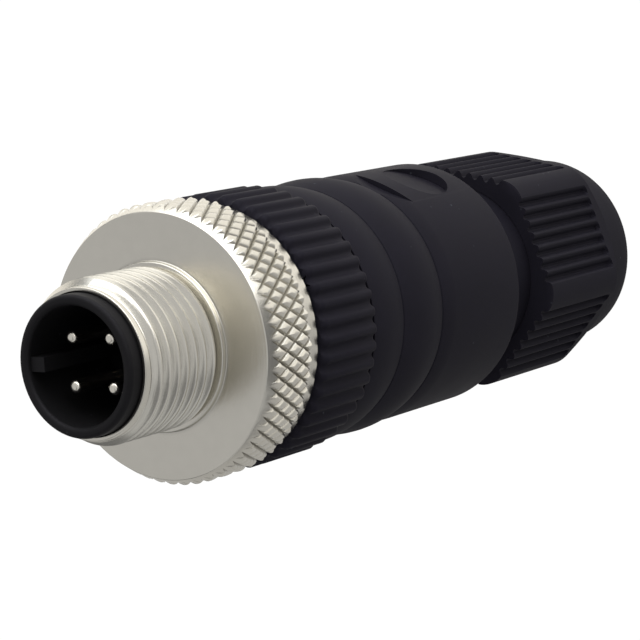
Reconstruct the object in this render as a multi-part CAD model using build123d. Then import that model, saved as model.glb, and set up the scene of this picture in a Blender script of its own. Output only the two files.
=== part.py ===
from build123d import *
import math
import os

# Straight male circular connector, M12 x 1, 4 pins, with screw terminals and a cable gland.
# Millimetres. The axis is Z, pins upwards; the part stands on the rear face of its gland nut at z = 0.

# Lengths along the axis, from the rear face of the nut up
nut_length = 16.6
gland_gap = 5.7
sleeve_length = 21.1
parting_gap = 0.1
ring_length = 6.85
screw_play = 0.3
flange_length = 6.2
thread_length = 8.1
lip_proud = 1.2

# Outside
thread_radius = 6.0
sleeve_radius = 10.0
grip_step = 0.4
nut_corner_angle = -12.5

# Coupling screw
tip_chamfer = 0.65
tip_chamfer_length = 1.05
collar_step = 0.25
collar_length = 0.45
face_chamfer = 0.58
face_chamfer_length = 1.05
band_length = 1.5
band_step = 0.15
web_length = 2.0
knurl_count = 56
knurl_depth = 0.4
knurl_tilt = 30.0
knurl_crossing = 2.0

# Contact insert
nose_wall = 0.85
shroud_wall = 0.8
cavity_depth = 9.0
lip_round = 0.35
key_width = 1.05
key_reach = 1.25
key_set_back = 0.4
insert_turn = -1.5
insert_collar_step = 0.5
insert_thread_length = 4.2
terminal_block_step = 1.1
terminal_block_length = 8.8
front_guide_length = 4.2

# Pins and their terminals
pin_count = 4
pin_radius = 0.5
pin_circle_radius = 2.5
pin_set_back = 1.8
pin_point_radius = 0.28
pin_point_length = 0.3
pin_root_step = 0.2
pin_shank_step = 0.4
barrel_wall = 0.75
barrel_set_back = 0.6
wire_hole_radius = 0.7
wire_hole_depth = 6.0
terminal_screw_radius = 1.0
terminal_screw_inset = 0.6
terminal_screw_height = 4.0
screw_hole_overrun = 0.5
screw_slot_width = 0.4
screw_slot_depth = 0.5

# Grip ring
flute_count = 48
flute_depth = 0.35
flute_crest_share = 0.5
flute_floor_share = 0.22
ring_edge_drop = 0.35
ring_edge_length = 0.5

# Sleeve
sleeve_front_wall = 2.0
sleeve_wall = 1.7
sleeve_edge_drop = 0.1
groove_depth = 0.3
groove_1_from_front = 4.3
groove_2_from_front = 9.8
crown_height = 0.18
shoulder_length = 1.6
shoulder_drop = 0.1
shoulder_drop_from_groove = 0.65
rear_edge_round = 0.3
seal_gland_length = 2.1
partition_length = 3.0
partition_step = 1.5
badge_angle = 66.0
badge_from_front = 15.8
badge_length = 6.5
badge_width = 5.1
badge_depth_front = 0.25
badge_depth_rear = 0.75
badge_cut_height = 3.0
scoop_reach = 6.3
scoop_half_width = 4.3
scoop_inner_reach = 4.6
scoop_inner_half_width = 6.8
scoop_depth = 0.7

# Rear spigot, seal and cage
spigot_step = 2.4
spigot_wall = 1.9
spigot_length = 11.0
seal_length = 5.0
seal_wall = 2.55
cage_length = 8.8
cage_collar_length = 3.2
cage_wall = 2.15
cage_tip_wall = 0.8
cage_fingers = 8
finger_slot_width = 0.7
cage_travel = 3.0

# Gland nut
nut_wall = 1.25
nut_sides = 6
nut_thread_length = 9.0
nut_hole_step = 2.3
nut_hole_length = 1.8
corner_round = 2.4
ribs_per_flat = 6
rib_pitch = 1.1
rib_groove_width = 0.75
rib_groove_depth = 0.5
rib_length = 10.7
rib_end_length = 1.6
dome_step = 0.3
dome_middle_step = 0.15
dome_rear_step = 0.45
rear_round = 0.5
front_chamfer = 0.3

# Sealing ring
o_ring_section_radius = 0.6

# Clearances
seat_gap = 0.03
running_fit = 0.05
free_gap = 0.3

# Radii worked out from the outside inwards
grip_radius = sleeve_radius + grip_step
band_radius = grip_radius - knurl_depth - band_step
collar_radius = thread_radius + collar_step
shroud_radius = thread_radius - nose_wall - running_fit
cavity_radius = shroud_radius - shroud_wall
insert_body_radius = sleeve_radius - sleeve_front_wall
insert_collar_radius = insert_body_radius + insert_collar_step
terminal_block_radius = insert_body_radius - terminal_block_step
sleeve_wall_radius = sleeve_radius - sleeve_wall
barrel_radius = wire_hole_radius + barrel_wall
spigot_radius = sleeve_radius - spigot_step
spigot_bore_radius = spigot_radius - spigot_wall
partition_bore_radius = spigot_bore_radius - partition_step
seal_outer_radius = spigot_bore_radius - free_gap / 2
seal_hole_radius = seal_outer_radius - seal_wall
cage_radius = spigot_bore_radius - running_fit
cage_bore_radius = cage_radius - cage_wall
nut_thread_radius = spigot_radius + running_fit
nut_flat_radius = nut_thread_radius + nut_wall
nut_dome_radius = nut_flat_radius - dome_step
nut_hole_radius = spigot_bore_radius - nut_hole_step

# Heights worked out from the lengths
nut_front_z = nut_length
sleeve_rear_z = nut_front_z + gland_gap
sleeve_front_z = sleeve_rear_z + sleeve_length
ring_rear_z = sleeve_front_z + parting_gap
ring_front_z = ring_rear_z + ring_length
flange_rear_z = ring_front_z + screw_play
face_z = flange_rear_z + flange_length
tip_z = face_z + thread_length
lip_z = tip_z + lip_proud
cavity_floor_z = lip_z - cavity_depth
web_z = face_z - web_length
insert_collar_z = web_z - free_gap
insert_thread_top_z = sleeve_front_z - seal_gland_length
insert_thread_end_z = insert_thread_top_z - insert_thread_length
block_rear_z = insert_thread_end_z - terminal_block_length
front_guide_z = cavity_floor_z - front_guide_length
barrel_top_z = insert_thread_end_z
terminal_screw_z = block_rear_z + terminal_screw_height
spigot_end_z = sleeve_rear_z - spigot_length
partition_z = sleeve_rear_z - seat_gap
seal_top_z = partition_z - seat_gap
seal_rear_z = seal_top_z - seal_length
cage_top_z = seal_rear_z - cage_travel - free_gap
cage_rear_z = cage_top_z - cage_length
nut_floor_z = nut_front_z - nut_thread_length
rib_end_z = nut_front_z - rib_length


# A turned solid from its half section, given as radius and height pairs
def turned(*points):
    outline = Polyline(*points, close=True)
    return revolve(Plane.XZ * make_face(outline), Axis.Z)


# A cylinder that stands from one height to another
def rod(radius, low, high):
    return Pos(0, 0, low) * Cylinder(radius, high - low, align=(Align.CENTER, Align.CENTER, Align.MIN))


# A rod lying along X at the height of the terminal screws, between two distances from the axis
def radial_rod(radius, inner, outer):
    return Pos(0, 0, terminal_screw_z) * Rot(0, 90, 0) * rod(radius, inner, outer)


def pin_angle(index):
    return insert_turn + 45 + 360 / pin_count * index


# Cutter for the hole of a terminal screw, lying along X, from a distance inside the block to outside it
def screw_hole(inner):
    return radial_rod(terminal_screw_radius + running_fit, inner, terminal_block_radius + 1)


# V cutters of one hand of the diamond knurl, all round the flange
def knurl_cutters(tilt):
    low = flange_rear_z + band_length
    crossing = face_z - knurl_crossing
    reach = face_z - low
    tall = knurl_depth * 1.5
    section = make_face(Polyline((0, 0), (tall, -tall), (tall, tall), close=True))
    wedge = Pos(grip_radius - knurl_depth, 0, crossing) * Rot(tilt, 0, 0) * extrude(section, reach, both=True)
    return [Rot(0, 0, 360 / knurl_count * step) * wedge for step in range(knurl_count)]


# Threaded nose, collar, flat face and knurled flange, bored for the insert
def coupling_screw():
    bore = shroud_radius + running_fit
    counterbore = insert_collar_radius + free_gap
    tip_edge = thread_radius - tip_chamfer
    blank = turned(
        (bore, tip_z),
        (tip_edge, tip_z),
        (thread_radius, tip_z - tip_chamfer_length),
        (thread_radius, face_z + collar_length),
        (collar_radius, face_z + collar_length),
        (collar_radius, face_z),
        (grip_radius - face_chamfer, face_z),
        (grip_radius, face_z - face_chamfer_length),
        (grip_radius, flange_rear_z + band_length),
        (band_radius, flange_rear_z + band_length),
        (band_radius, flange_rear_z),
        (counterbore, flange_rear_z),
        (counterbore, web_z),
        (bore, web_z),
    )
    return blank - knurl_cutters(knurl_tilt) - knurl_cutters(-knurl_tilt)


# Coding key on the inner wall of the shroud
def coding_key():
    inner = cavity_radius - key_reach
    height = cavity_depth - key_set_back
    block = Box(shroud_radius - inner, key_width, height, align=(Align.MIN, Align.CENTER, Align.MIN))
    block = Pos(inner, 0, cavity_floor_z) * block
    outer = rod((cavity_radius + shroud_radius) / 2, cavity_floor_z, lip_z)
    return Rot(0, 0, 180 + insert_turn) * (block & outer)


# Shroud, collar, body, sleeve thread and terminal block, moulded in one piece
def contact_insert():
    groove = insert_body_radius - o_ring_section_radius
    root_hole = pin_radius + pin_root_step + seat_gap
    shank_hole = pin_radius + pin_shank_step + seat_gap
    body = turned(
        (0, cavity_floor_z),
        (cavity_radius, cavity_floor_z),
        (cavity_radius, lip_z),
        (shroud_radius, lip_z),
        (shroud_radius, insert_collar_z),
        (insert_collar_radius, insert_collar_z),
        (insert_collar_radius, ring_front_z),
        (insert_body_radius, ring_front_z),
        (insert_body_radius, sleeve_front_z - free_gap),
        (groove, sleeve_front_z - free_gap),
        (groove, insert_thread_top_z),
        (insert_body_radius, insert_thread_top_z),
        (insert_body_radius, insert_thread_end_z),
        (terminal_block_radius, insert_thread_end_z),
        (terminal_block_radius, block_rear_z),
        (0, block_rear_z),
    )
    lip = body.edges().filter_by(GeomType.CIRCLE).filter_by_position(Axis.Z, lip_z - 0.01, lip_z + 0.01)
    body = fillet(lip, min(lip_round, (shroud_radius - cavity_radius) * 0.45))
    body += coding_key()
    for index in range(pin_count):
        turn = Rot(0, 0, pin_angle(index))
        place = turn * Pos(pin_circle_radius, 0, 0)
        body -= place * rod(root_hole, front_guide_z, cavity_floor_z + 1)
        body -= place * rod(shank_hole, barrel_top_z, front_guide_z)
        body -= place * rod(barrel_radius + seat_gap, block_rear_z - 1, barrel_top_z)
        body -= turn * screw_hole(pin_circle_radius)
    return body


# Pin, shank and terminal barrel turned from one bar, with a wire hole and a cross hole for the screw
def contact_pin(index):
    tip = lip_z - pin_set_back
    root = pin_radius + pin_root_step
    shank = pin_radius + pin_shank_step
    barrel_rear = block_rear_z + barrel_set_back
    pin = turned(
        (0, tip),
        (pin_point_radius, tip),
        (pin_radius, tip - pin_point_length),
        (pin_radius, cavity_floor_z),
        (root, cavity_floor_z),
        (root, front_guide_z - seat_gap),
        (shank, front_guide_z - seat_gap),
        (shank, barrel_top_z - seat_gap),
        (barrel_radius, barrel_top_z - seat_gap),
        (barrel_radius, barrel_rear),
        (wire_hole_radius, barrel_rear),
        (wire_hole_radius, barrel_rear + wire_hole_depth),
        (0, barrel_rear + wire_hole_depth),
    )
    cross = screw_hole(pin_circle_radius - screw_hole_overrun)
    pin = Pos(pin_circle_radius, 0, 0) * Rot(0, 0, 90) * pin - cross
    return Rot(0, 0, pin_angle(index)) * pin


# Slotted grub screw, backed out so that its end just clears the wire hole
def terminal_screw(index):
    inner = pin_circle_radius + wire_hole_radius + seat_gap * 3
    outer = terminal_block_radius - terminal_screw_inset
    screw = radial_rod(terminal_screw_radius, inner, outer)
    slot = Box(2 * screw_slot_depth, terminal_screw_radius * 3, screw_slot_width)
    screw -= Pos(outer, 0, terminal_screw_z) * slot
    return Rot(0, 0, pin_angle(index)) * screw


# Outline with ribs all round, each with a flat crest, sloping flanks and a flat floor
def fluted_outline(crest, floor, count):
    pitch = 2 * math.pi / count
    half_crest = flute_crest_share / 2
    half_floor = flute_floor_share / 2
    rib = [(crest, -half_crest), (crest, half_crest), (floor, 0.5 - half_floor), (floor, 0.5 + half_floor)]
    points = []
    for step in range(count):
        for radius, share in rib:
            angle = pitch * (step + share)
            points.append((radius * math.cos(angle), radius * math.sin(angle)))
    return make_face(Polyline(*points, close=True))


# Ring with axial ribs, pushed over the body of the insert against its collar
def grip_ring():
    outline = fluted_outline(grip_radius, grip_radius - flute_depth, flute_count)
    ring = Pos(0, 0, ring_rear_z) * extrude(outline, ring_length)
    edge = grip_radius - ring_edge_drop
    envelope = turned(
        (insert_body_radius + seat_gap, ring_rear_z),
        (edge, ring_rear_z),
        (grip_radius, ring_rear_z + ring_edge_length),
        (grip_radius, ring_front_z - ring_edge_length),
        (edge, ring_front_z),
        (insert_body_radius + seat_gap, ring_front_z),
    )
    return ring & envelope


# Sealing ring in the groove of the insert
def sleeve_o_ring():
    inner = insert_body_radius - o_ring_section_radius + seat_gap
    centre_z = (sleeve_front_z - free_gap + insert_thread_top_z) / 2
    return Pos(0, 0, centre_z) * Torus(inner + o_ring_section_radius, o_ring_section_radius)


# Half section of the sleeve: crowned bands between soft grooves outside, stepped bore inside
def sleeve_section():
    groove_1 = (sleeve_radius - groove_depth, sleeve_front_z - groove_1_from_front)
    groove_2 = (sleeve_radius - groove_depth, sleeve_front_z - groove_2_from_front)
    front_edge = (sleeve_radius - sleeve_edge_drop, sleeve_front_z)
    crown_1 = (sleeve_radius + crown_height / 2, (front_edge[1] + groove_1[1]) / 2)
    crown_2 = (sleeve_radius + crown_height, (groove_1[1] + groove_2[1]) / 2)
    shoulder = (sleeve_radius, groove_2[1] - shoulder_length)
    half_way = (sleeve_radius - shoulder_drop, groove_2[1] - shoulder_drop_from_groove)
    seal_bore = insert_body_radius + o_ring_section_radius + running_fit * 2
    thread_bore = insert_body_radius + running_fit
    thread_end = insert_thread_end_z - free_gap
    cavity_rear = sleeve_rear_z + partition_length
    inside = Polyline(
        (sleeve_radius, sleeve_rear_z + rear_edge_round),
        (sleeve_radius - rear_edge_round, sleeve_rear_z),
        (spigot_radius, sleeve_rear_z),
        (spigot_radius, spigot_end_z),
        (spigot_bore_radius, spigot_end_z),
        (spigot_bore_radius, partition_z),
        (partition_bore_radius, partition_z),
        (partition_bore_radius, cavity_rear),
        (sleeve_wall_radius, cavity_rear),
        (sleeve_wall_radius, thread_end),
        (thread_bore, thread_end),
        (thread_bore, insert_thread_top_z),
        (seal_bore, insert_thread_top_z),
        (seal_bore, sleeve_front_z),
        front_edge,
    )
    outside = [
        ThreePointArc(front_edge, crown_1, groove_1),
        ThreePointArc(groove_1, crown_2, groove_2),
        ThreePointArc(groove_2, half_way, shoulder),
        Line(shoulder, (sleeve_radius, sleeve_rear_z + rear_edge_round)),
    ]
    return make_face(Curve() + [inside] + outside)


# Plane that touches the top of the sleeve at the middle of the oval recess
def badge_plane():
    angle = math.radians(badge_angle)
    out = (math.cos(angle), math.sin(angle), 0)
    height = sleeve_front_z - badge_from_front
    origin = (sleeve_radius * out[0], sleeve_radius * out[1], height)
    return Plane(origin=origin, x_dir=(0, 0, 1), z_dir=out)


# Oval recess with a sloping floor, deeper towards the rear
def badge_recess():
    slope = math.degrees(math.atan((badge_depth_rear - badge_depth_front) / badge_length))
    depth = (badge_depth_rear + badge_depth_front) / 2
    oval = extrude(Ellipse(badge_length / 2, badge_width / 2), badge_cut_height, both=True)
    block = Box(badge_length * 2, badge_width * 2, 2 * badge_cut_height)
    block = Pos(0, 0, -depth) * Rot(0, -slope, 0) * Pos(0, 0, badge_cut_height) * block
    return badge_plane() * (oval & block)


# Crescent cut in front of the oval, which fades out to both sides
def crescent_scoop():
    crescent = Ellipse(scoop_reach, scoop_half_width)
    crescent -= Ellipse(scoop_inner_reach, scoop_inner_half_width)
    front = Rectangle(scoop_reach * 2, scoop_half_width * 3, align=(Align.MIN, Align.CENTER))
    tool = extrude(crescent & front, badge_cut_height)
    return badge_plane() * Pos(0, 0, -scoop_depth) * tool


def sleeve():
    body = revolve(Plane.XZ * sleeve_section(), Axis.Z)
    return body - badge_recess() - crescent_scoop()


# Rubber sleeve that grips the cable, seated against the partition of the sleeve
def gland_seal():
    return turned(
        (seal_hole_radius, seal_top_z),
        (seal_outer_radius, seal_top_z),
        (seal_outer_radius, seal_rear_z),
        (seal_hole_radius, seal_rear_z),
    )


# Collar that slides in the spigot, with tapered fingers towards the cable exit
def clamping_cage():
    tip = cage_bore_radius + cage_tip_wall
    collar_end = cage_top_z - cage_collar_length
    cage = turned(
        (cage_bore_radius, cage_top_z),
        (cage_radius, cage_top_z),
        (cage_radius, collar_end),
        (tip, cage_rear_z),
        (cage_bore_radius, cage_rear_z),
    )
    slot_height = collar_end - cage_rear_z
    slot = Box(cage_radius * 2, finger_slot_width, slot_height, align=(Align.MIN, Align.CENTER, Align.MIN))
    for finger in range(cage_fingers):
        cage -= Rot(0, 0, 360 / cage_fingers * finger) * Pos(0, 0, cage_rear_z) * slot
    return cage


# Hexagon with rounded corners and V grooves in its flats
def ribbed_hexagon():
    outline = RegularPolygon(nut_flat_radius, nut_sides, major_radius=False)
    outline = fillet(outline.vertices(), corner_round)
    lip = nut_flat_radius + 0.01
    half = rib_groove_width / 2
    for side in range(nut_sides):
        for groove in range(ribs_per_flat + 1):
            across = (groove - ribs_per_flat / 2) * rib_pitch
            bottom = (nut_flat_radius - rib_groove_depth, across)
            notch = Polyline((lip, across - half), (lip, across + half), bottom, close=True)
            outline -= Rot(0, 0, 360 / nut_sides * (side + 0.5)) * make_face(notch)
    return outline


# Cap nut: ribbed skirt, domed rear end, thread for the spigot and a taper that closes the cage
def gland_nut():
    skirt = extrude(ribbed_hexagon(), rib_length + rib_end_length)
    skirt = Pos(0, 0, rib_end_z - rib_end_length) * Rot(0, 0, nut_corner_angle) * skirt
    reach = nut_flat_radius / math.cos(math.pi / nut_sides)
    rear = nut_dome_radius - dome_rear_step
    envelope = turned(
        (0, rib_end_z - rib_end_length),
        (nut_dome_radius, rib_end_z - rib_end_length),
        (reach, rib_end_z),
        (reach, nut_front_z - front_chamfer),
        (reach - front_chamfer * 2, nut_front_z),
        (0, nut_front_z),
    )
    dome = turned(
        (0, 0),
        (rear - rear_round, 0),
        (rear, rear_round),
        (nut_dome_radius - dome_middle_step, rib_end_z / 2),
        (nut_dome_radius, rib_end_z),
        (0, rib_end_z),
    )
    inside = turned(
        (0, -1),
        (nut_hole_radius, -1),
        (nut_hole_radius, nut_hole_length),
        (spigot_bore_radius + free_gap, nut_floor_z),
        (nut_thread_radius, nut_floor_z),
        (nut_thread_radius, nut_front_z + 1),
        (0, nut_front_z + 1),
    )
    return (skirt & envelope) + dome - inside


pieces = {
    "coupling_screw": coupling_screw(),
    "contact_insert": contact_insert(),
    "grip_ring": grip_ring(),
    "sleeve_o_ring": sleeve_o_ring(),
    "sleeve": sleeve(),
    "gland_seal": gland_seal(),
    "clamping_cage": clamping_cage(),
    "gland_nut": gland_nut(),
}
for index in range(pin_count):
    pieces[f"contact_pin_{index + 1}"] = contact_pin(index)
    pieces[f"terminal_screw_{index + 1}"] = terminal_screw(index)

os.makedirs("parts", exist_ok=True)
for name, solid in pieces.items():
    solid.label = name
    export_step(solid, f"parts/{name}.step")
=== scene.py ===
import math
import bpy
import bmesh
from mathutils import Matrix, Vector


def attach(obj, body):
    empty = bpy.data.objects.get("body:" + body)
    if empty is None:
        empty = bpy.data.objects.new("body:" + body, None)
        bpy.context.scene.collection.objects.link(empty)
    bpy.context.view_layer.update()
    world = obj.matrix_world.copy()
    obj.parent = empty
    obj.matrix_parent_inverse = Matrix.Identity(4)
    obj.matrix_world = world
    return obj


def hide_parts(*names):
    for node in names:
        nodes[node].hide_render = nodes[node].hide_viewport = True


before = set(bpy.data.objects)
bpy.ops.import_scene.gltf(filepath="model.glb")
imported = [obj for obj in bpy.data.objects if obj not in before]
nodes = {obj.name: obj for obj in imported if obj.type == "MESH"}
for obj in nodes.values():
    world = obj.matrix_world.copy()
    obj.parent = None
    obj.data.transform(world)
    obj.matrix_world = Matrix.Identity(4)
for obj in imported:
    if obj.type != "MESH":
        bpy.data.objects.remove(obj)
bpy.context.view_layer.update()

mm = 0.001                                  # sizes are written in millimetres
weld = 0.001 * mm                           # points closer than this are one point


# Shader maths

class Value:                                # a socket that sums can be written on
    def __init__(self, recipe, socket):
        self.recipe = recipe
        self.socket = socket

    def maths(self, operation, first, second):
        return self.recipe.node("Math", {"operation": operation}, {0: first, 1: second})

    def __add__(self, other):
        return self.maths("ADD", self, other)

    def __radd__(self, other):
        return self.maths("ADD", other, self)

    def __mul__(self, other):
        return self.maths("MULTIPLY", self, other)

    def __rmul__(self, other):
        return self.maths("MULTIPLY", other, self)

    def __pow__(self, other):
        return self.maths("POWER", self, other)

    def __rpow__(self, other):
        return self.maths("POWER", other, self)


class Recipe:                               # a material and the nodes that make it
    def __init__(self, name):
        self.material = bpy.data.materials.new(name)
        self.material.use_nodes = True
        self.tree = self.material.node_tree
        self.tree.nodes.clear()
        self.surface = self.tree.nodes.new("ShaderNodeOutputMaterial").inputs["Surface"]
        self.place = self.node("TexCoord", {}, {}, "Object")

    def node(self, kind, settings, sockets, out=0):
        made = self.tree.nodes.new("ShaderNode" + kind)
        for key, value in settings.items():
            setattr(made, key, value)
        for key, value in sockets.items():
            if isinstance(value, Value):
                self.tree.links.new(value.socket, made.inputs[key])
            elif made.inputs[key].type == "RGBA":
                made.inputs[key].default_value = asColour(value)
            else:
                made.inputs[key].default_value = value
        return Value(self, made.outputs[out])

    def between(self, share, first, second):    # a colour between two others
        firstInput, secondInput, result = 6, 7, 2       # a Mix node's sockets for colours
        sockets = {"Factor": share, firstInput: first, secondInput: second}
        return self.node("Mix", {"data_type": "RGBA"}, sockets, result)

    def finish(self, shader):
        self.tree.links.new(shader.socket, self.surface)
        return self.material


def asColour(shade):                        # a number or three become a colour
    if isinstance(shade, (int, float)):
        shade = (shade,) * 3
    return tuple(shade) + (1.0,)


def toned(colour, share):
    return [channel * share for channel in colour]


# Materials

def paint(obj, material):
    obj.data.materials.clear()
    obj.data.materials.append(material)


nickel = {"colour": (0.69, 0.67, 0.615), "roughness": 0.24, "spread": 0.10, "turning": 0.018}
contactMetal = {"colour": (0.80, 0.77, 0.70), "roughness": 0.22, "spread": 0.06, "turning": 0.004}
steel = {"colour": (0.60, 0.60, 0.59), "roughness": 0.30, "spread": 0.10, "turning": 0.01}
# the last two entries set the painted shade in grooves and crevices: how far it reaches, and how dark it goes
turnedGrain = {"cloudScale": 900.0, "ringScale": 9000.0, "cloudTone": 0.93, "bump": 0.25, "brushed": 0.6,
               "paintedShadeReach": 0.35, "paintedShadeTone": 0.55}


def makeTurnedMetal(name, colour, roughness, spread, turning):
    grain = turnedGrain
    r = Recipe(name)
    xyz = {axis: r.node("SeparateXYZ", {}, {"Vector": r.place}, axis) for axis in "XYZ"}
    radius = (xyz["X"] * xyz["X"] + xyz["Y"] * xyz["Y"]) ** 0.5
    cloud = r.node("TexNoise", {}, {"Vector": r.place, "Scale": grain["cloudScale"], "Detail": 4.0})
    closeness = grain["ringScale"]
    ringPlace = r.node("CombineXYZ", {}, {"X": radius * closeness, "Y": xyz["Z"] * closeness})
    rings = r.node("TexNoise", {}, {"Vector": ringPlace, "Scale": 1.0, "Detail": 3.0})
    # painted shade: ambient occlusion darkens the base colour where grooves and crevices are shut in
    paintedShade = r.node("AmbientOcclusion", {"only_local": True, "samples": 8},
                  {"Distance": grain["paintedShadeReach"] * mm}, "AO")
    tint = r.between(cloud, toned(colour, grain["cloudTone"]), colour)
    tint = r.between(paintedShade, toned(colour, grain["paintedShadeTone"]), tint)    # painted shade: the colour is darkened in grooves and crevices
    bump = r.node("Bump", {}, {"Strength": grain["bump"], "Distance": turning * mm, "Height": rings})
    return r.finish(r.node("BsdfPrincipled", {}, {
        "Base Color": tint, "Metallic": 1.0, "Roughness": roughness - spread / 2 + rings * spread,
        "Anisotropic": grain["brushed"], "Normal": bump}))


plastic = {"colour": (0.0118, 0.0110, 0.0166), "roughness": 0.64, "grain": 0.006, "shine": 0.08}
insertLook = {"colour": (0.0045, 0.0045, 0.0048), "roughness": 0.6, "grain": 0.004, "shine": 0.2}
cageLook = {"colour": (0.02, 0.02, 0.021), "roughness": 0.45, "grain": 0.004, "shine": 0.4}
rubber = {"colour": (0.006, 0.006, 0.006), "roughness": 0.8, "grain": 0.01, "shine": 0.3}
mouldedGrain = {"fineScale": 6000.0, "cloudScale": 350.0, "darker": 0.8, "paler": 1.2, "spread": 0.12,
                "bump": 0.3, "sheen": (0.9, 0.87, 1.0)}
specks = {"scale": 900.0, "rim": 0.10, "middle": 0.03, "placesFrom": 0.52, "placesTo": 0.62,
          "colour": (0.10, 0.11, 0.13), "strength": 0.5}


def makeMoulded(name, colour, roughness, grain, shine):
    r = Recipe(name)
    fine = r.node("TexNoise", {}, {"Vector": r.place, "Scale": mouldedGrain["fineScale"], "Detail": 2.0})
    cloud = r.node("TexNoise", {}, {"Vector": r.place, "Scale": mouldedGrain["cloudScale"], "Detail": 3.0})
    cells = r.node("TexVoronoi", {}, {"Vector": r.place, "Scale": specks["scale"], "Randomness": 1.0})
    spots = r.node("MapRange", {}, {"Value": cells, "From Min": specks["rim"], "From Max": specks["middle"]})
    rare = r.node("MapRange", {}, {"Value": cloud, "From Min": specks["placesFrom"],
                                   "From Max": specks["placesTo"]})
    dust = spots * rare                     # a few pale specks, in some places only
    tint = r.between(cloud, toned(colour, mouldedGrain["darker"]), toned(colour, mouldedGrain["paler"]))
    tint = r.between(dust * specks["strength"], tint, specks["colour"])
    bump = r.node("Bump", {}, {"Strength": mouldedGrain["bump"], "Distance": grain * mm, "Height": fine})
    spread = mouldedGrain["spread"]
    return r.finish(r.node("BsdfPrincipled", {}, {
        "Base Color": tint, "Roughness": roughness - spread / 2 + cloud * spread, "Specular IOR Level": shine,
        "Specular Tint": mouldedGrain["sheen"], "Normal": bump}))


nickelPlate = makeTurnedMetal("nickelPlate", **nickel)
pinMetal = makeTurnedMetal("pinMetal", **contactMetal)
screwSteel = makeTurnedMetal("screwSteel", **steel)
insertPlastic = makeMoulded("insertPlastic", **insertLook)
gripPlastic = makeMoulded("gripPlastic", **plastic)
sleevePlastic = makeMoulded("sleevePlastic", **plastic)
nutPlastic = makeMoulded("nutPlastic", **plastic)
cagePlastic = makeMoulded("cagePlastic", **cageLook)
sealRubber = makeMoulded("sealRubber", **rubber)
looks = {
    "coupling_screw": nickelPlate, "contact_pin": pinMetal, "terminal_screw": screwSteel,
    "contact_insert": insertPlastic, "grip_ring": gripPlastic, "sleeve": sleevePlastic,
    "gland_nut": nutPlastic, "clamping_cage": cagePlastic, "gland_seal": sealRubber,
    "sleeve_o_ring": sealRubber,
}
for name, obj in nodes.items():
    paint(obj, looks.get(name) or looks[name.rsplit("_", 1)[0]])    # pins and grub screws end in a number
print("materials made")


# Modelling tools

def eased(outline, fineness=4):             # corners given with a third number are rounded by it
    points = []
    count = len(outline)
    for index, corner in enumerate(outline):
        here = Vector(corner[:2])
        if len(corner) < 3:
            points.append(tuple(here))
            continue
        before = (Vector(outline[index - 1][:2]) - here).normalized()
        after = (Vector(outline[(index + 1) % count][:2]) - here).normalized()
        half = before.angle(after) / 2
        reach = corner[2] / math.tan(half)
        centre = here + (before + after).normalized() * corner[2] / math.sin(half)
        first, last = here + before * reach - centre, here + after * reach - centre
        sweep = math.atan2(first.x * last.y - first.y * last.x, first.dot(last))
        for step in range(fineness + 1):
            points.append(tuple(centre + Matrix.Rotation(sweep * step / fineness, 2) @ first))
    return points


def bow(first, last, rise, count=10):       # points between two others, swelling outwards
    points = []
    for step in range(1, count):
        share = step / count
        radius = first[0] + (last[0] - first[0]) * share + rise * 4 * share * (1 - share)
        height = first[1] + (last[1] - first[1]) * share
        points.append((radius, height))
    return points


def alone(obj):                             # the only object selected
    bpy.ops.object.select_all(action="DESELECT")
    bpy.context.view_layer.objects.active = obj
    obj.select_set(True)


def edit():                                 # opened for editing, with all of it selected
    bpy.ops.object.mode_set(mode="EDIT")
    bpy.ops.mesh.select_all(action="SELECT")


def begin(name, primitive, **settings):     # a new primitive, opened for editing
    bpy.ops.object.select_all(action="DESELECT")
    primitive(**settings)
    obj = bpy.context.object
    obj.name = obj.data.name = name
    bpy.ops.object.transform_apply(location=True, rotation=True, scale=True)
    edit()
    return obj


def choose(obj, kind, test):                # selects verts, edges or faces by a rule
    bpy.ops.mesh.select_mode(type={"verts": "VERT", "edges": "EDGE", "faces": "FACE"}[kind])
    bpy.ops.mesh.select_all(action="DESELECT")
    shape = bmesh.from_edit_mesh(obj.data)
    for part in getattr(shape, kind):
        part.select_set(bool(test(part)))
    shape.select_flush_mode()
    bmesh.update_edit_mesh(obj.data)


def chooseRim(obj, height):                 # the open edges at a height
    choose(obj, "verts", lambda v: abs(v.co.z - height * mm) < weld and v.is_boundary)


def close(obj, gap=weld):                   # ends the edit: doubles merged, normals outwards
    bpy.ops.mesh.select_mode(type="VERT")
    bpy.ops.mesh.select_all(action="SELECT")
    bpy.ops.mesh.remove_doubles(threshold=gap)
    bpy.ops.mesh.normals_make_consistent(inside=False)
    bpy.ops.object.mode_set(mode="OBJECT")
    return obj


def draw(outline):                          # the chosen point is drawn out along an outline
    for here, there in zip(outline, outline[1:]):
        shift = tuple((b - a) * mm for a, b in zip(here, there))
        bpy.ops.mesh.extrude_region_move(TRANSFORM_OT_translate={"value": shift})


def point(name, place):                     # an object with one vertex
    obj = begin(name, bpy.ops.mesh.primitive_plane_add, size=mm, location=[c * mm for c in place])
    bpy.ops.mesh.merge(type="CENTER")
    return obj


def turn(name, outline, steps):             # a half section, drawn out and then spun round the axis
    path = [(r, 0, z) for r, z in outline]
    if outline[0][0] > 0:
        path.append(path[0])                # a ring's section is closed, a solid's ends on the axis
    obj = point(name, path[0])
    draw(path)
    bpy.ops.mesh.select_all(action="SELECT")
    bpy.ops.mesh.remove_doubles(threshold=weld)
    bpy.ops.mesh.spin(steps=steps, angle=math.tau, center=(0, 0, 0), axis=(0, 0, 1))
    return close(obj)


def swing(obj, degrees):                    # turned round the connector's axis, in its mesh
    alone(obj)
    obj.rotation_euler = (0, 0, math.radians(degrees))
    bpy.ops.object.transform_apply(location=False, rotation=True, scale=False)
    return obj


def applyAll(obj):
    alone(obj)
    for made in list(obj.modifiers):
        bpy.ops.object.modifier_apply(modifier=made.name)


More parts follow.
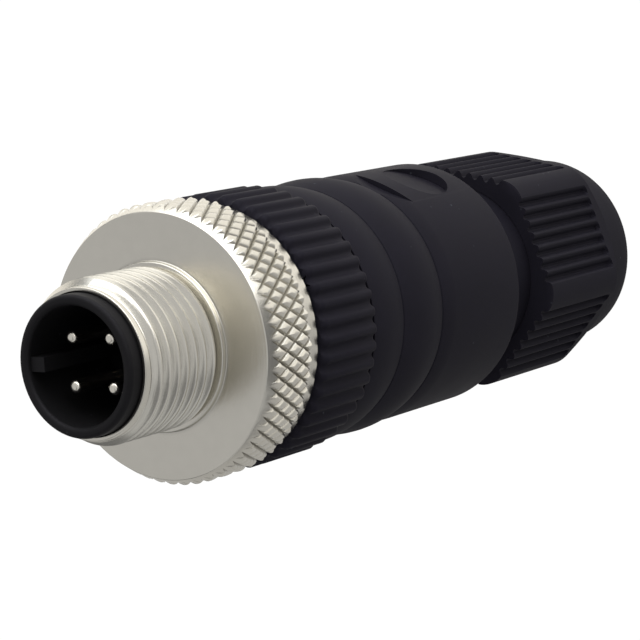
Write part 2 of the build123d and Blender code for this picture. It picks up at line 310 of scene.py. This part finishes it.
def combine(obj, tool, operation):          # boolean with a tool that is then thrown away
    made = obj.modifiers.new("cut", "BOOLEAN")
    made.object = tool
    made.operation = operation
    made.solver = "MANIFOLD"
    applyAll(obj)
    bpy.data.objects.remove(tool)


def settle(obj, body, material, stand, smooth):
    alone(obj)
    bpy.ops.object.shade_smooth_by_angle(angle=math.radians(smooth))
    paint(obj, material)
    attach(obj, body)
    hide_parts(stand)
    print("piece", obj.name, len(obj.data.polygons), "faces")


# Coupling screw

coupling = {
    "steps": 224, "smooth": 32, "bore": 5.15, "counterbore": 8.8,
    "rear": 50.65, "bandTop": 52.15, "web": 54.85, "face": 56.85, "collarTop": 57.3, "tip": 64.95,
    "band": 9.85, "crest": 10.4, "faceEdge": 9.82, "chamferLength": 1.05, "collar": 6.25,
    "thread": 6.0, "root": 5.5, "leadIn": 0.5,
    "undercut": (0.05, 0.3, 0.45),          # heights over the collar: floor's start, floor's end, first crest
    "rounds": (0.04, 0.06, 0.08, 0.1, 0.12), "oversize": 0.3, "knurlOverrun": (0.04, 1.0),
}
knurl = {"count": 56, "depth": 0.4, "tilt": 30, "middle": 54.85, "spare": 1.0,
         "insets": ((0.05, 0.12), (0.08, 0.12), (0.10, 0.09), (0.13, 0.055))}
coil = {"pitch": 1.0, "steps": 96, "turns": 8, "start": 57.86,
        "half": ((5.41, 0.05), (5.46, 0.12), (5.87, 0.35), (5.95, 0.385), (5.99, 0.42), (6.06, 0.47))}


def knurlBlank(count, depth, tilt, middle, spare, insets, crest, low, high):    # the space round the diamonds
    pitch = math.tau / count
    floor = crest - depth
    cell = floor * pitch / math.tan(math.radians(tilt))
    place = (floor * mm, 0, middle * mm)
    obj = begin("knurlBlank", bpy.ops.mesh.primitive_circle_add, vertices=4, radius=mm, fill_type="NGON",
                location=place, rotation=(0, math.pi / 2, 0))
    bpy.ops.transform.resize(value=(1, floor * math.sin(pitch / 2), cell / 2), center_override=place)
    choose(obj, "verts", lambda v: abs(v.co.y) > floor * mm * pitch / 4)
    bpy.ops.transform.translate(value=(-floor * (1 - math.cos(pitch / 2)) * mm, 0, 0))
    choose(obj, "faces", lambda f: True)
    for inward, rise in insets:
        bpy.ops.mesh.inset(thickness=inward * mm, depth=rise * mm)
    bpy.ops.object.mode_set(mode="OBJECT")
    pattern = len(obj.data.polygons)
    bpy.ops.object.mode_set(mode="EDIT")
    rows = math.ceil((high - low) / cell) + 1
    for row in range(-rows, rows + 1):
        if row:
            choose(obj, "faces", lambda f: f.index < pattern)
            bpy.ops.mesh.duplicate_move(TRANSFORM_OT_translate={"value": (0, 0, row * cell / 2 * mm)})
            if row % 2:
                bpy.ops.transform.rotate(value=pitch / 2, orient_axis="Z", center_override=(0, 0, 0))
    bpy.ops.mesh.select_all(action="SELECT")
    bpy.ops.mesh.spin(steps=count - 1, dupli=True, angle=math.tau - pitch, center=(0, 0, 0), axis=(0, 0, 1))
    bpy.ops.mesh.select_all(action="SELECT")
    bpy.ops.mesh.remove_doubles(threshold=10 * weld)
    for height, upper in ((low, False), (high, True)):
        bpy.ops.mesh.select_all(action="SELECT")
        bpy.ops.mesh.bisect(plane_co=(0, 0, height * mm), plane_no=(0, 0, 1), threshold=weld,
                            clear_inner=not upper, clear_outer=upper)
    wider = (crest + spare) / crest
    for height in (low, high):
        chooseRim(obj, height)
        bpy.ops.mesh.extrude_region_move()
        bpy.ops.transform.resize(value=(wider, wider, 1), center_override=(0, 0, 0))
    choose(obj, "verts", lambda v: v.is_boundary)
    bpy.ops.mesh.select_mode(type="EDGE")
    bpy.ops.mesh.bridge_edge_loops()
    return close(obj)


def coilBlank(pitch, steps, turns, start, half):    # the helix that cuts the thread
    outline = [(-r, 0, start - h) for r, h in half] + [(-r, 0, start + h) for r, h in reversed(half)]
    obj = point("coilBlank", outline[0])
    draw(outline + outline[:1])
    close(obj)
    made = obj.modifiers.new("coil", "SCREW")
    made.angle = math.tau
    made.screw_offset = pitch * mm
    made.iterations = turns
    made.steps = made.render_steps = steps
    applyAll(obj)
    bpy.ops.object.mode_set(mode="EDIT")
    choose(obj, "verts", lambda v: v.is_boundary)
    bpy.ops.mesh.select_mode(type="EDGE")
    bpy.ops.mesh.fill()
    return close(obj)


def makeCouplingScrew(steps, smooth, bore, counterbore, rear, bandTop, web, face, tip, band, crest, faceEdge,
                      chamferLength, collar, collarTop, thread, root, leadIn, undercut, rounds, oversize,
                      knurlOverrun):
    sharp, fine, soft, full, blunt = rounds
    floorStart, floorEnd, firstCrest = (collarTop + up for up in undercut)
    lastCrest = tip - leadIn - (thread - root)
    blank = crest + oversize                # turned larger where the knurl is rolled
    blankFace = face - chamferLength - oversize * chamferLength / (crest - faceEdge)
    outline = eased([
        (bore, tip, fine), (root - fine, tip, soft), (root, tip - leadIn), (thread, lastCrest, full),
        (thread, firstCrest, soft), (root, floorEnd), (root, floorStart, sharp), (collar, collarTop, full),
        (collar, face, soft), (faceEdge, face, full), (blank, blankFace), (blank, bandTop),
        (band, bandTop, full), (band, rear, blunt), (counterbore, rear, full), (counterbore, web),
        (bore, web, full)])
    obj = turn("couplingScrew", outline, steps)
    below, above = knurlOverrun
    combine(obj, knurlBlank(**knurl, crest=crest, low=bandTop - below, high=face + above), "DIFFERENCE")
    combine(obj, coilBlank(**coil), "DIFFERENCE")
    settle(obj, "coupling_screw", nickelPlate, "coupling_screw", smooth)


makeCouplingScrew(**coupling)


# Grip ring

gripRing = {
    "ribs": 48, "smooth": 35, "crest": 10.4, "floor": 10.05, "bore": 8.03, "rear": 43.5, "front": 50.35,
    "profile": (0, 0, 0.15, 0.6, 0.92, 1, 1, 0.92, 0.6, 0.15),      # height along one rib, as a share
    "ends": ((0.0, 0.35), (0.1, 0.2), (0.3, 0.06), (0.5, 0.0)),     # how far in, and how much smaller
}


def makeGripRing(ribs, smooth, crest, floor, bore, rear, front, profile, ends):
    count = ribs * len(profile)
    obj = begin("gripRing", bpy.ops.mesh.primitive_circle_add, vertices=count, radius=crest * mm,
                location=(0, 0, rear * mm))

    def ribHeight(v):
        return profile[round(math.atan2(v.co.y, v.co.x) / math.tau * count) % len(profile)]

    def narrow(scale):
        bpy.ops.transform.resize(value=(scale, scale, 1), center_override=(0, 0, 0))

    for share in sorted(set(profile)):      # every height on a rib is drawn in by itself
        choose(obj, "verts", lambda v: ribHeight(v) == share)
        narrow((floor + (crest - floor) * share) / crest)
    bpy.ops.mesh.select_all(action="SELECT")
    sections = [(rear + up, drop) for up, drop in ends] + [(front - up, drop) for up, drop in reversed(ends)]
    lastHeight, lastDrop = rear, 0
    for height, drop in sections:
        if height > rear:
            shift = (0, 0, (height - lastHeight) * mm)
            bpy.ops.mesh.extrude_region_move(TRANSFORM_OT_translate={"value": shift})
        narrow((crest - drop) / (crest - lastDrop))
        lastHeight, lastDrop = height, drop
    bpy.ops.mesh.primitive_circle_add(vertices=count, radius=bore * mm, location=(0, 0, rear * mm))
    bpy.ops.mesh.extrude_region_move(TRANSFORM_OT_translate={"value": (0, 0, (front - rear) * mm)})
    for height in (rear, front):
        chooseRim(obj, height)
        bpy.ops.mesh.select_mode(type="EDGE")
        bpy.ops.mesh.bridge_edge_loops()
    close(obj)
    settle(obj, "carrier", gripPlastic, "grip_ring", smooth)


makeGripRing(**gripRing)


# Sleeve

sleeve = {
    "steps": 256, "smooth": 25, "front": 43.4, "rear": 22.3,
    "radius": 10.0, "frontRadius": 9.9, "rearRound": 0.3, "shoulder": 32.0,
    "grooveRadius": 9.7, "grooves": (39.1, 33.6), "rises": (0.29, 0.48, 0.05),
    "line": (0.02, 0.09, 0.1),              # a groove's fine line: lip, half width, depth
    "spigot": 7.6, "spigotEnd": 11.3, "spigotBore": 5.7, "spigotRounds": (0.25, 0.15),
    "wall": 8.3, "seal": 8.7,
    "partition": (4.2, 22.27, 25.3),        # bore, rear and front
    "thread": (8.05, 36.8, 41.3),           # radius, rear and front
}
oval = {"steps": 128, "angle": 66.5, "height": 27.1, "length": 5.8, "width": 5.2, "depth": (0.16, 0.74)}
scoop = {"outer": (6.6, 4.2), "inner": (5.0, 6.8), "depth": 0.42, "deeper": 0.5}


def ellipseTool(name, halfLength, halfWidth, bottom, tilt=0.0):     # stands on the sleeve's side at the oval
    tall = 3.0
    turned = math.radians(oval["angle"])
    out = (bottom + tall / 2) * mm
    place = (out * math.cos(turned), out * math.sin(turned), oval["height"] * mm)
    return close(begin(name, bpy.ops.mesh.primitive_cylinder_add, vertices=oval["steps"], radius=mm,
                       depth=tall * mm, location=place, rotation=(0, math.pi / 2 + tilt, turned),
                       scale=(halfLength, halfWidth, 1)))


def ovalTool(radius):                       # deeper towards the rear
    frontDepth, rearDepth = oval["depth"]
    tilt = math.atan((rearDepth - frontDepth) / oval["length"])
    bottom = radius - (frontDepth + rearDepth) / 2
    return ellipseTool("ovalTool", oval["length"] / 2, oval["width"] / 2, bottom, tilt)


def scoopTool(radius):                      # the front half of what lies between two ellipses
    bottom = radius - scoop["depth"]
    tool = ellipseTool("scoopTool", *scoop["outer"], bottom)
    combine(tool, ellipseTool("inner", *scoop["inner"], bottom - scoop["deeper"]), "DIFFERENCE")
    edit()
    bpy.ops.mesh.bisect(plane_co=(0, 0, oval["height"] * mm), plane_no=(0, 0, 1), threshold=weld,
                        clear_inner=True, use_fill=True)
    return close(tool)


def makeSleeve(steps, smooth, front, rear, radius, frontRadius, rearRound, shoulder, grooveRadius, grooves,
               rises, line, spigot, spigotEnd, spigotBore, spigotRounds, wall, seal, partition, thread):
    lip, half, depth = line
    marks = [(frontRadius, front)] + [(grooveRadius, height) for height in grooves] + [(radius, shoulder)]
    outside = [marks[0]]
    for here, there, rise in zip(marks, marks[1:], rises):
        outside += bow(here, there, rise)
        outside.append(there)
        if there[0] == grooveRadius:        # the fine line at the bottom of a groove
            r, z = outside.pop()
            outside += [(r + lip, z + half), (r - depth, z), (r + lip, z - half)]
    partitionBore, partitionRear, partitionFront = partition
    threadBore, threadRear, threadFront = thread
    innerCorner, endRound = spigotRounds
    inside = [
        (spigot, rear, innerCorner), (spigot, spigotEnd, endRound), (spigotBore, spigotEnd, endRound),
        (spigotBore, partitionRear), (partitionBore, partitionRear), (partitionBore, partitionFront),
        (wall, partitionFront), (wall, threadRear), (threadBore, threadRear), (threadBore, threadFront),
        (seal, threadFront), (seal, front)]
    obj = turn("sleeveShell", eased(outside + [(radius, rear, rearRound)] + inside), steps)
    combine(obj, ovalTool(radius), "DIFFERENCE")
    combine(obj, scoopTool(radius), "DIFFERENCE")
    settle(obj, "sleeve", sleevePlastic, "sleeve", smooth)


makeSleeve(**sleeve)


# Gland nut

nut = {
    "steps": 192, "smooth": 28, "sides": 6, "flat": 8.9, "corner": -12.5, "cornerRound": 1.386,
    "cornerSteps": 10, "front": 16.6, "frontChamfer": (0.6, 0.3), "skirtEnd": 4.3, "ribEnd": 5.9,
    "dome": ((8.15, 0.0), (8.45, 2.95), (8.6, 5.9)), "domeSwell": 0.02, "rearRound": 0.75,
    "hole": (3.4, 1.8), "floor": 7.6, "taper": 6.0, "thread": 7.65, "into": 0.5, "overrun": 1,
}
ribs = {
    "count": 7, "pitch": 1.1, "end": 5.72,
    "section": ((0.02, 0.545), (-0.06, 0.4), (-0.2, 0.28), (-0.42, 0.16), (-0.5, 0.0)),     # out, half width
    "tail": ((0.28, 1.0), (0.1, 0.8), (0.0, 0.55)),     # height over the end, and scale
}


def ribTool(count, pitch, end, section, tail, sides, flat, top):    # the grooves of every flat
    side = [(flat + out, half) for out, half in section]
    outline = [(r, y, top) for r, y in side] + [(r, -y, top) for r, y in reversed(side[:-1])]
    obj = point("ribTool", outline[0])
    draw(outline)
    bpy.ops.mesh.select_all(action="SELECT")
    bpy.ops.mesh.edge_face_add()
    high = top
    for up, scale in tail:
        low = end + up
        bpy.ops.mesh.extrude_region_move(TRANSFORM_OT_translate={"value": (0, 0, (low - high) * mm)})
        bpy.ops.transform.resize(value=(scale, scale, 1), center_override=(side[0][0] * mm, 0, low * mm))
        high = low
    bpy.ops.mesh.select_all(action="SELECT")
    bpy.ops.transform.translate(value=(0, -(count - 1) / 2 * pitch * mm, 0))
    close(obj)
    made = obj.modifiers.new("row", "ARRAY")
    made.use_relative_offset = False
    made.use_constant_offset = True
    made.count = count
    made.constant_offset_displace = (0, pitch * mm, 0)
    applyAll(obj)
    edit()
    bpy.ops.mesh.spin(steps=sides - 1, dupli=True, angle=math.tau * (sides - 1) / sides,
                      center=(0, 0, 0), axis=(0, 0, 1))
    return close(obj, 2 * weld)


def makeGlandNut(steps, smooth, sides, flat, corner, cornerRound, cornerSteps, front, frontChamfer, skirtEnd,
                 ribEnd, dome, domeSwell, rearRound, hole, floor, taper, thread, into, overrun):
    reach = flat / math.cos(math.pi / sides)
    obj = begin("glandNut", bpy.ops.mesh.primitive_cylinder_add, vertices=sides, radius=reach * mm,
                depth=(front - skirtEnd) * mm, location=(0, 0, (front + skirtEnd) / 2 * mm))
    choose(obj, "edges", lambda e: abs(e.verts[0].co.z - e.verts[1].co.z) > mm)
    bpy.ops.mesh.bevel(offset=cornerRound * mm, segments=cornerSteps, affect="EDGES")
    close(obj)
    domeRear, domeMiddle, domeFront = dome
    envelope = eased([
        (0, skirtEnd), (domeFront[0], skirtEnd), (reach, ribEnd), (reach, front - frontChamfer[1]),
        (reach - frontChamfer[0], front), (0, front)])
    combine(obj, turn("envelope", envelope, steps), "INTERSECT")
    combine(obj, ribTool(**ribs, sides=sides, flat=flat, top=front + overrun), "DIFFERENCE")
    swing(obj, corner + 180 / sides)
    straight = bow(domeRear, domeMiddle, 0.0, 3)[1:]        # starts past the rounded edge
    swollen = bow(domeMiddle, domeFront, domeSwell, 4)
    rear = eased([(0, domeRear[1]), domeRear + (rearRound,)] + straight + swollen
                 + [domeFront, (0, domeFront[1] + into)])
    combine(obj, turn("dome", rear, steps), "UNION")
    inside = [(0, -overrun), (hole[0], -overrun), hole, (taper, floor), (thread, floor),
              (thread, front + overrun), (0, front + overrun)]
    combine(obj, turn("inside", inside, steps), "DIFFERENCE")
    settle(obj, "gland_nut", nutPlastic, "gland_nut", smooth)


makeGlandNut(**nut)


# Contact pins

pin = {
    "count": 4, "steps": 48, "smooth": 40, "circle": 2.5, "first": 43.5,
    "radius": 0.5, "tip": 64.35, "tipRound": 0.4, "tipSteps": 8,
    "rear": (                               # steps down to the terminal barrel, then its wire hole
        (0.5, 57.15), (0.7, 57.15), (0.7, 52.92), (0.9, 52.92), (0.9, 37.07), (1.45, 37.07), (1.45, 28.9),
        (0.7, 28.9), (0.7, 34.9), (0, 34.9)),
    "screwHole": {"steps": 48, "radius": 1.05, "height": 32.3, "inward": 0.5, "length": 5},
}


def crossTool(circle, steps, radius, height, inward, length):   # the hole for the grub screw
    place = ((circle - inward + length / 2) * mm, 0, height * mm)
    return close(begin("crossTool", bpy.ops.mesh.primitive_cylinder_add, vertices=steps, radius=radius * mm,
                       depth=length * mm, location=place, rotation=(0, math.pi / 2, 0)))


def makePins(count, steps, smooth, circle, first, radius, tip, tipRound, tipSteps, rear, screwHole):
    outline = eased([(0, tip), (radius, tip, tipRound)] + list(rear), tipSteps)
    obj = turn("contactPin1", outline, steps)
    obj.location = (circle * mm, 0, 0)
    tool = crossTool(circle, **screwHole)
    alone(obj)
    bpy.ops.object.transform_apply(location=True, rotation=False, scale=False)
    combine(obj, tool, "DIFFERENCE")
    swing(obj, first)
    for number in range(1, count + 1):
        if number > 1:
            bpy.ops.object.duplicate()
            obj = swing(bpy.context.object, 360 / count)
            obj.name = obj.data.name = "contactPin" + str(number)
        settle(obj, "carrier", pinMetal, "contact_pin_" + str(number), smooth)


makePins(**pin)


# Studio

camera = {"lens": 140.625, "sensor": 36.0, "clip": (0.01, 10.0), "place": (114.1, 22.3, 195.6),
          "ahead": (-0.5787, -0.1183, -0.8069), "up": (0.0, 0.9894, -0.1451)}
lampTarget = 45                             # height on the axis that the lamps point at
warm, plain = (1.0, 0.98, 0.93), (1.0, 0.99, 0.97)
panels = {                                  # place: towards the camera, right and up
    "topPanel": {"place": (60, -40, 330), "size": (420, 300), "power": 0.7, "colour": (0.90, 0.95, 1.0)},
    "frontPanel": {"place": (330, 0, 40), "size": (560, 380), "power": 0.30, "colour": plain},
    "upperPanel": {"place": (260, 20, 300), "size": (520, 240), "power": 1.0, "colour": (1.0, 0.98, 0.94)},
    "cornerPanel": {"place": (110, -260, 260), "size": (260, 240), "power": 0.26, "colour": warm},
    "lowPanel": {"place": (150, 20, -320), "size": (520, 280), "power": 0.18, "colour": (1.0, 1.0, 0.98)},
    "leftPanel": {"place": (120, -400, -60), "size": (640, 700), "power": 0.54, "colour": plain},
    "rightPanel": {"place": (40, 320, 120), "size": (200, 240), "power": 0.24, "colour": (1.0, 0.97, 0.93)},
}
worldStrength = 0.19
floorSize = 3000
floorDrop = 10                              # clear of the nut when it is unscrewed
paper = {"camera": 0.92, "mirror": 0.8, "white": 1.06, "matt": 0.86, "dim": (0.52, 0.51, 0.49),
         "lit": (1.35, 1.30, 1.20), "edge": (-12, 34)}


def makeCamera(lens, sensor, clip, place, ahead, up):
    data = bpy.data.cameras.new("camera")
    data.lens = lens
    data.sensor_width = sensor
    data.clip_start, data.clip_end = clip
    obj = bpy.data.objects.new("camera", data)
    bpy.context.scene.collection.objects.link(obj)
    ahead, up = Vector(ahead).normalized(), Vector(up).normalized()
    right = ahead.cross(up).normalized()
    facing = Matrix((right, right.cross(ahead), -ahead)).transposed()
    obj.matrix_world = Matrix.Translation(Vector(place) * mm) @ facing.to_4x4()
    bpy.context.scene.camera = obj
    return obj


def makePanel(name, target, view, place, size, power, colour):
    data = bpy.data.lights.new(name, "AREA")
    data.shape = "RECTANGLE"
    data.size = size[0] * mm
    data.size_y = size[1] * mm
    data.energy = power
    data.color = colour
    obj = bpy.data.objects.new(name, data)
    bpy.context.scene.collection.objects.link(obj)
    towards, right, up = place
    side, above, back = (view.col[i].to_3d() for i in range(3))
    spot = target + (side * right + above * up + back * towards) * mm
    facing = (spot - target).to_track_quat("Z", "Y").to_matrix()
    obj.matrix_world = Matrix.Translation(spot) @ facing.to_4x4()


def makePaper(camera, mirror, white, matt, dim, lit, edge):     # white to the eye, a soft horizon for metal
    r = Recipe("palePaper")
    toCamera = r.node("LightPath", {}, {}, "Is Camera Ray")
    toMirror = r.node("LightPath", {}, {}, "Is Glossy Ray")
    across = r.node("SeparateXYZ", {}, {"Vector": r.place}, "Y")
    share = r.node("MapRange", {"interpolation_type": "SMOOTHSTEP"},
                   {"Value": across, "From Min": edge[0] * mm, "From Max": edge[1] * mm})
    seen = r.between(toCamera, r.between(share, dim, lit), white)
    card = r.node("BsdfDiffuse", {}, {"Color": matt})
    glow = r.node("Emission", {}, {"Color": seen})
    return r.finish(r.node("MixShader", {}, {0: toCamera * camera + toMirror * mirror, 1: card, 2: glow}))


eye = makeCamera(**camera)
for name, settings in panels.items():
    makePanel(name, Vector((0, 0, lampTarget * mm)), eye.matrix_world, **settings)

world = bpy.data.worlds.new("studio")
bpy.context.scene.world = world
world.use_nodes = True
world.node_tree.nodes["Background"].inputs["Color"].default_value = asColour(1)
world.node_tree.nodes["Background"].inputs["Strength"].default_value = worldStrength

bpy.ops.object.select_all(action="DESELECT")
bpy.ops.mesh.primitive_plane_add(size=floorSize * mm, location=(0, 0, -floorDrop * mm))
floor = bpy.context.object
floor.name = "floor"
paint(floor, makePaper(**paper))
bpy.context.scene.view_settings.view_transform = "Standard"
print("studio set")
